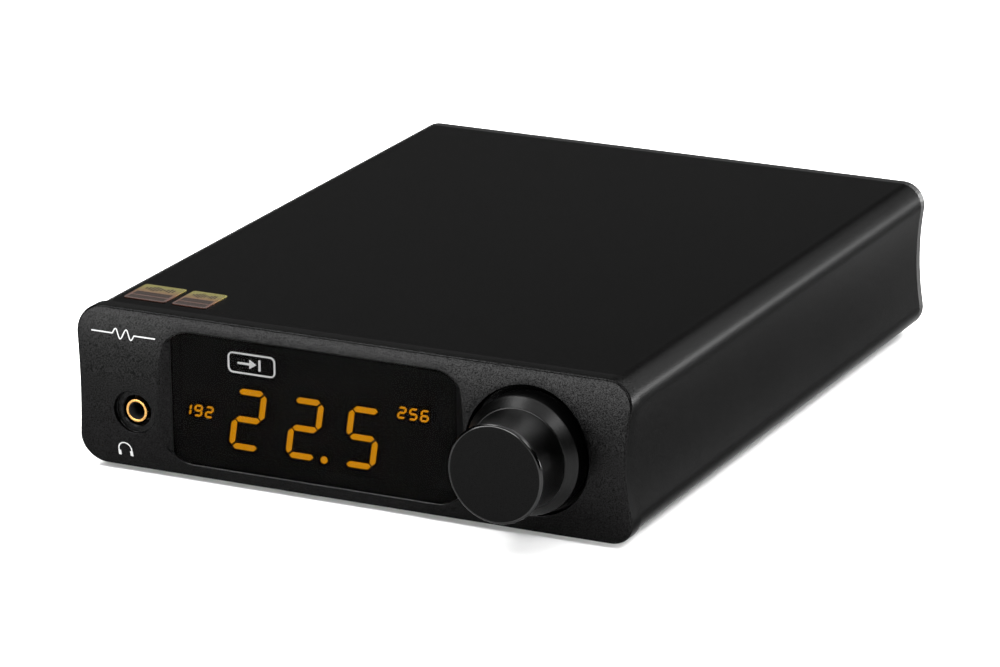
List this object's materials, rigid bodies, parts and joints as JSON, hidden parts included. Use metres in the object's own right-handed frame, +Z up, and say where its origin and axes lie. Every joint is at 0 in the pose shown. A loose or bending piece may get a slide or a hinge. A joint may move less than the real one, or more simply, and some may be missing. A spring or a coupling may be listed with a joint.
{
  "type": "desktop digital to analogue converter",
  "caption": "Flat black desktop DAC and headphone amplifier in an extruded aluminium sleeve, with a recessed figure display, push-and-turn volume knob and rear audio, USB and power sockets.",
  "frame": {"origin": "centre of the overall box, at the underside of the feet", "axes": "+X to the right of the front panel, +Y to the back, +Z up"},
  "size_m": [0.12, 0.1688, 0.0338],
  "materials": {
    "anodised_sleeve": "black anodised, fine blasted",
    "anodised_panel": "black anodised, coarse blasted",
    "anodised_rear": "black anodised, fine blasted",
    "anodised_knob": "black anodised, turned",
    "black_screws": "black oxide",
    "foot_rubber": "matt",
    "foil_label": "metallised foil",
    "smoked_window": "smoked, polished",
    "display_housing": "matt black",
    "amber_light": "lit",
    "white_light": "lit",
    "infrared_plastic": "dark filter",
    "circuit_board": "solder mask",
    "black_plastic": "moulded",
    "die_cast_zinc": "cast",
    "plated_steel": "nickel plated",
    "pale_plastic": "moulded",
    "red_plastic": "moulded",
    "gold_plate": "polished gold plate",
    "chip_epoxy": "moulded epoxy",
    "capacitor_sleeve": "shrink sleeve",
    "ferrite": "sintered"
  },
  "bodies": {
    "chassis": {"sleeve": "anodised_sleeve", "front_panel": "anodised_panel", "rear_panel": "anodised_rear", "rear_screws": "black_screws", "underside_screws": "black_screws", "foot_front_left": "foot_rubber", "foot_front_right": "foot_rubber", "foot_rear_left": "foot_rubber", "foot_rear_right": "foot_rubber", "top_labels": "foil_label", "display_window": "smoked_window", "display_module": "display_housing", "display_digits": "amber_light", "display_legends": "amber_light", "display_badge": "white_light", "infrared_receiver": "infrared_plastic", "front_board": "circuit_board", "board_header": "black_plastic", "encoder_body": "black_plastic", "encoder_bushing": "die_cast_zinc", "encoder_washer": "plated_steel", "encoder_nut": "plated_steel", "encoder_switch": "black_plastic", "phone_body": "black_plastic", "phone_ring": "gold_plate", "phone_contacts": "gold_plate", "main_board": "circuit_board", "line_left_barrel": "gold_plate", "line_left_insulator": "pale_plastic", "line_right_barrel": "gold_plate", "line_right_insulator": "red_plastic", "coax_barrel": "gold_plate", "coax_insulator": "black_plastic", "phono_contacts": "gold_plate", "phono_housings": "black_plastic", "optical_socket": "black_plastic", "usb_shell": "plated_steel", "usb_insulator": "pale_plastic", "usb_contacts": "gold_plate", "aerial_socket": "gold_plate", "aerial_nut": "gold_plate", "aerial_contact": "gold_plate", "aerial_lead": "black_plastic", "wireless_module": "plated_steel", "dc_socket": "black_plastic", "dc_pin": "plated_steel", "converter_chips": "chip_epoxy", "amplifier_chips": "chip_epoxy", "oscillators": "plated_steel", "electrolytic_capacitors": "capacitor_sleeve", "film_capacitors": "red_plastic", "power_inductors": "ferrite", "output_relays": "pale_plastic", "voltage_regulators": "chip_epoxy", "socket_screws": "black_screws"},
    "volume_rotor": {"encoder_rotor": "pale_plastic"},
    "volume_control": {"encoder_shaft": "plated_steel", "volume_knob": "anodised_knob", "knob_set_screw": "black_screws"},
    "optical_door": {"optical_shutter": "black_plastic"}
  },
  "joints": [
    {"name": "volume_turn", "type": "hinge", "parent": "chassis", "child": "volume_rotor", "pos_m": [0.0386, -0.07105, 0.0176], "axis": [0, 1, 0], "continuous": true},
    {"name": "volume_press", "type": "slide", "parent": "volume_rotor", "child": "volume_control", "axis": [0, 1, 0], "range_m": [0, 0.0005], "stiffness_N_per_m": 3000, "springref_m": -0.0004},
    {"name": "optical_door_swing", "type": "hinge", "parent": "chassis", "child": "optical_door", "pos_m": [0.003, 0.07505, 0.0182], "axis": [-1, 0, 0], "range_deg": [0, 80], "stiffness_Nm_per_rad": 0.0001, "springref_deg": -17.19}
  ]
}
